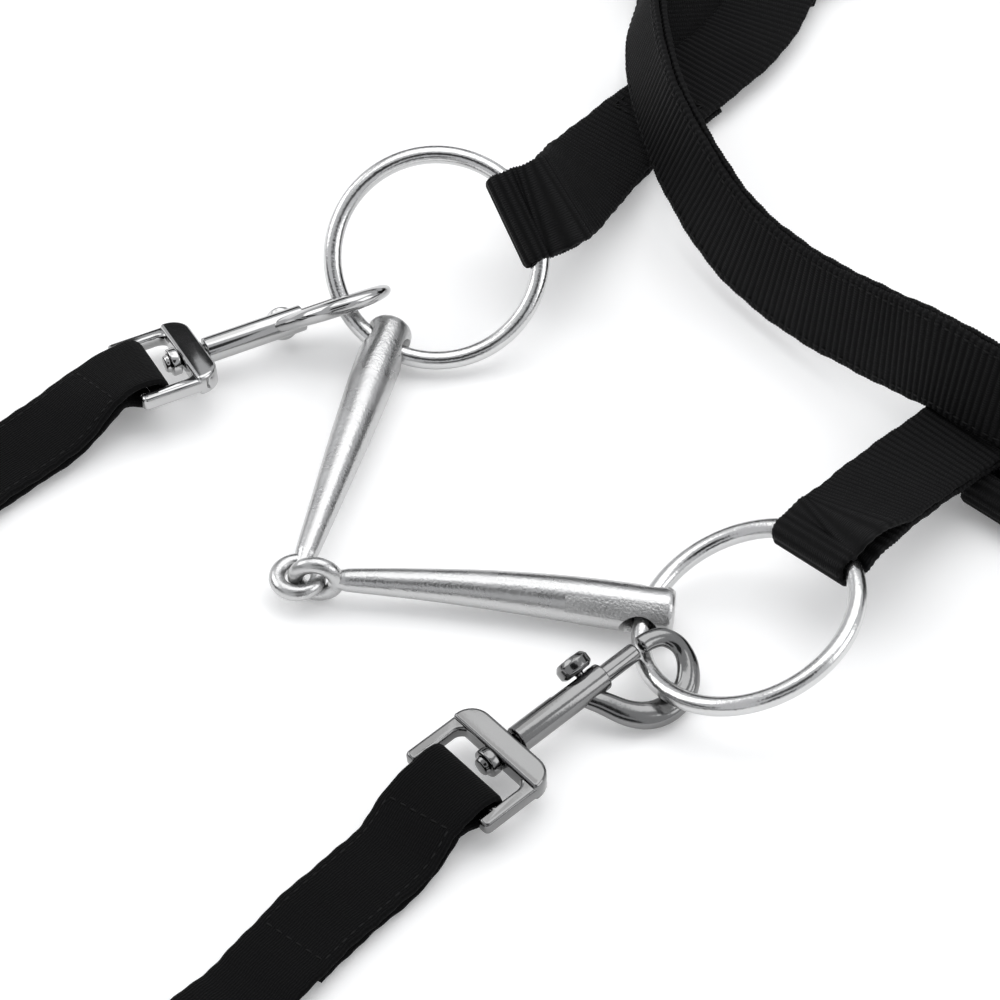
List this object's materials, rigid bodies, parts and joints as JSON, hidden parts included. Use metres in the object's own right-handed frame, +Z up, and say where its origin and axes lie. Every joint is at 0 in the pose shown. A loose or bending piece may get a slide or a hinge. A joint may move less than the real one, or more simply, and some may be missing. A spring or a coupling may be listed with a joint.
{
  "type": "bridle halter",
  "caption": "Webbing bridle halter lying unfastened: headstall with noseband, browband, crown and buckled throatlatch, jointed loose-ring bit and reins on swivel bolt snaps.",
  "frame": {"origin": "middle of the halter's footprint on the surface it lies on, rolled reins not counted", "axes": "+Z up, +Y from the bit towards the crown, +X towards the animal's near (left) side"},
  "size_m": [0.412, 0.8248, 0.0375],
  "materials": {
    "webbing": "ribbed black nylon webbing",
    "rein_webbing": "soft black webbing",
    "bit_chrome": "polished with a light grain",
    "snap_chrome": "polished die-cast",
    "spring_steel": "drawn wire",
    "steel_hardware": "plated steel"
  },
  "bodies": {
    "headstall": {"bit_hanger_near": "webbing", "bit_hanger_off": "webbing", "browband": "webbing", "cheek_strap_near": "webbing", "cheek_strap_off": "webbing", "chin_slide": "steel_hardware", "chin_strap_near": "webbing", "chin_strap_off": "webbing", "crown_slide": "steel_hardware", "crown_strap": "webbing", "nose_square_near": "steel_hardware", "nose_square_off": "steel_hardware", "noseband": "webbing", "noseband_lining": "webbing", "rein_coil_near": "rein_webbing", "rein_coil_off": "rein_webbing", "rein_strap_near": "rein_webbing", "rein_strap_off": "rein_webbing", "rein_tie_near": "webbing", "rein_tie_off": "webbing", "snap_yoke_near": "snap_chrome", "snap_yoke_off": "snap_chrome", "temple_square_near": "steel_hardware", "temple_square_off": "steel_hardware", "throat_buckle_frame": "steel_hardware", "throat_buckle_strap": "webbing", "throatlatch": "webbing"},
    "bit_ring_off": {"bit_ring_off": "bit_chrome"},
    "bit_ring_near": {"bit_ring_near": "bit_chrome"},
    "cannon_off": {"cannon_off": "bit_chrome"},
    "cannon_near": {"cannon_near": "bit_chrome"},
    "hook_off": {"snap_hook_off": "snap_chrome", "snap_rivet_off": "snap_chrome", "snap_spring_off": "spring_steel"},
    "bolt_off": {"snap_bolt_off": "snap_chrome", "snap_knob_off": "snap_chrome"},
    "hook_near": {"snap_hook_near": "snap_chrome", "snap_rivet_near": "snap_chrome", "snap_spring_near": "spring_steel"},
    "bolt_near": {"snap_bolt_near": "snap_chrome", "snap_knob_near": "snap_chrome"},
    "prong": {"throat_prong": "steel_hardware"},
    "roller": {"throat_roller": "steel_hardware"},
    "keeper": {"throat_keeper": "webbing"}
  },
  "joints": [
    {"name": "bit_ring_off_turn", "type": "hinge", "parent": "headstall", "child": "bit_ring_off", "pos_m": [-0.0701, -0.1906, 0.0193], "axis": [0.4151, -0.4382, 0.7973], "continuous": true},
    {"name": "bit_ring_near_turn", "type": "hinge", "parent": "headstall", "child": "bit_ring_near", "pos_m": [0.0557, -0.2249, 0.0146], "axis": [-0.2851, -0.2221, 0.9324], "continuous": true},
    {"name": "mouthpiece_swing", "type": "hinge", "parent": "headstall", "child": "cannon_off", "pos_m": [-0.06767, -0.21207, 0.00624], "axis": [-0.9794, 0.2019, 0.0035], "range_deg": [0, 16]},
    {"name": "cannon_near_swing", "type": "hinge", "parent": "headstall", "child": "cannon_near", "pos_m": [0.0334, -0.23291, 0.00587], "axis": [-0.9794, 0.2019, 0.0035], "range_deg": [0, 16]},
    {"name": "snap_off_swivel", "type": "hinge", "parent": "headstall", "child": "hook_off", "pos_m": [-0.09736, -0.24342, 0.00826], "axis": [0.385, 0.9227, 0.02], "range_deg": [-45, 20]},
    {"name": "snap_off_bolt_slide", "type": "slide", "parent": "hook_off", "child": "bolt_off", "axis": [-0.385, -0.9227, -0.02], "range_m": [0, 0.008], "stiffness_N_per_m": 220, "deforming": ["snap_spring_off"]},
    {"name": "snap_near_swivel", "type": "hinge", "parent": "headstall", "child": "hook_near", "pos_m": [0.0374, -0.28154, 0.00775], "axis": [0.1105, 0.9921, 0.06], "range_deg": [0, 45]},
    {"name": "snap_near_bolt_slide", "type": "slide", "parent": "hook_near", "child": "bolt_near", "axis": [-0.1105, -0.9921, -0.06], "range_m": [0, 0.008], "stiffness_N_per_m": 220, "deforming": ["snap_spring_near"]},
    {"name": "throat_prong_swing", "type": "hinge", "parent": "headstall", "child": "prong", "pos_m": [0.1186, 0.0857, 0.0059], "axis": [0, -1, 0], "range_deg": [0, 115]},
    {"name": "throat_roller_turn", "type": "hinge", "parent": "headstall", "child": "roller", "pos_m": [0.1406, 0.0857, 0.0059], "axis": [0, 1, 0], "continuous": true},
    {"name": "throat_keeper_slide", "type": "slide", "parent": "headstall", "child": "keeper", "axis": [1, 0, 0], "range_m": [-0.0035, 0.008]}
  ],
  "couplings": [
    {"joint": "cannon_near_swing", "follows": "mouthpiece_swing", "ratio": 1}
  ]
}
